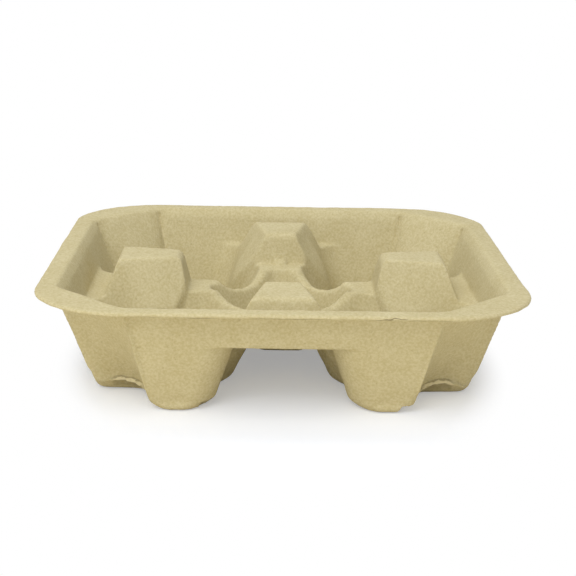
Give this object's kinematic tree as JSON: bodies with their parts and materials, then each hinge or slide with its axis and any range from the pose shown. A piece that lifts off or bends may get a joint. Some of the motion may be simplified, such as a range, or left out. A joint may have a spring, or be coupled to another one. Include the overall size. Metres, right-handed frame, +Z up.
{
  "type": "cup carrier tray",
  "caption": "Square moulded-pulp cup carrier with a flat rim, clover-shaped cup wells that double as feet, hollow posts between the wells and a pit in the middle.",
  "frame": {"origin": "middle of the tray on the surface that its feet stand on", "axes": "+Z up towards the rim, +X to the right and +Y to the back when one side wall faces the viewer"},
  "size_m": [0.21, 0.21, 0.05],
  "materials": {
    "pulp": "matt, rough moulded paper fibre"
  },
  "bodies": {
    "root": {"carrier_tray": "pulp"}
  },
  "joints": []
}
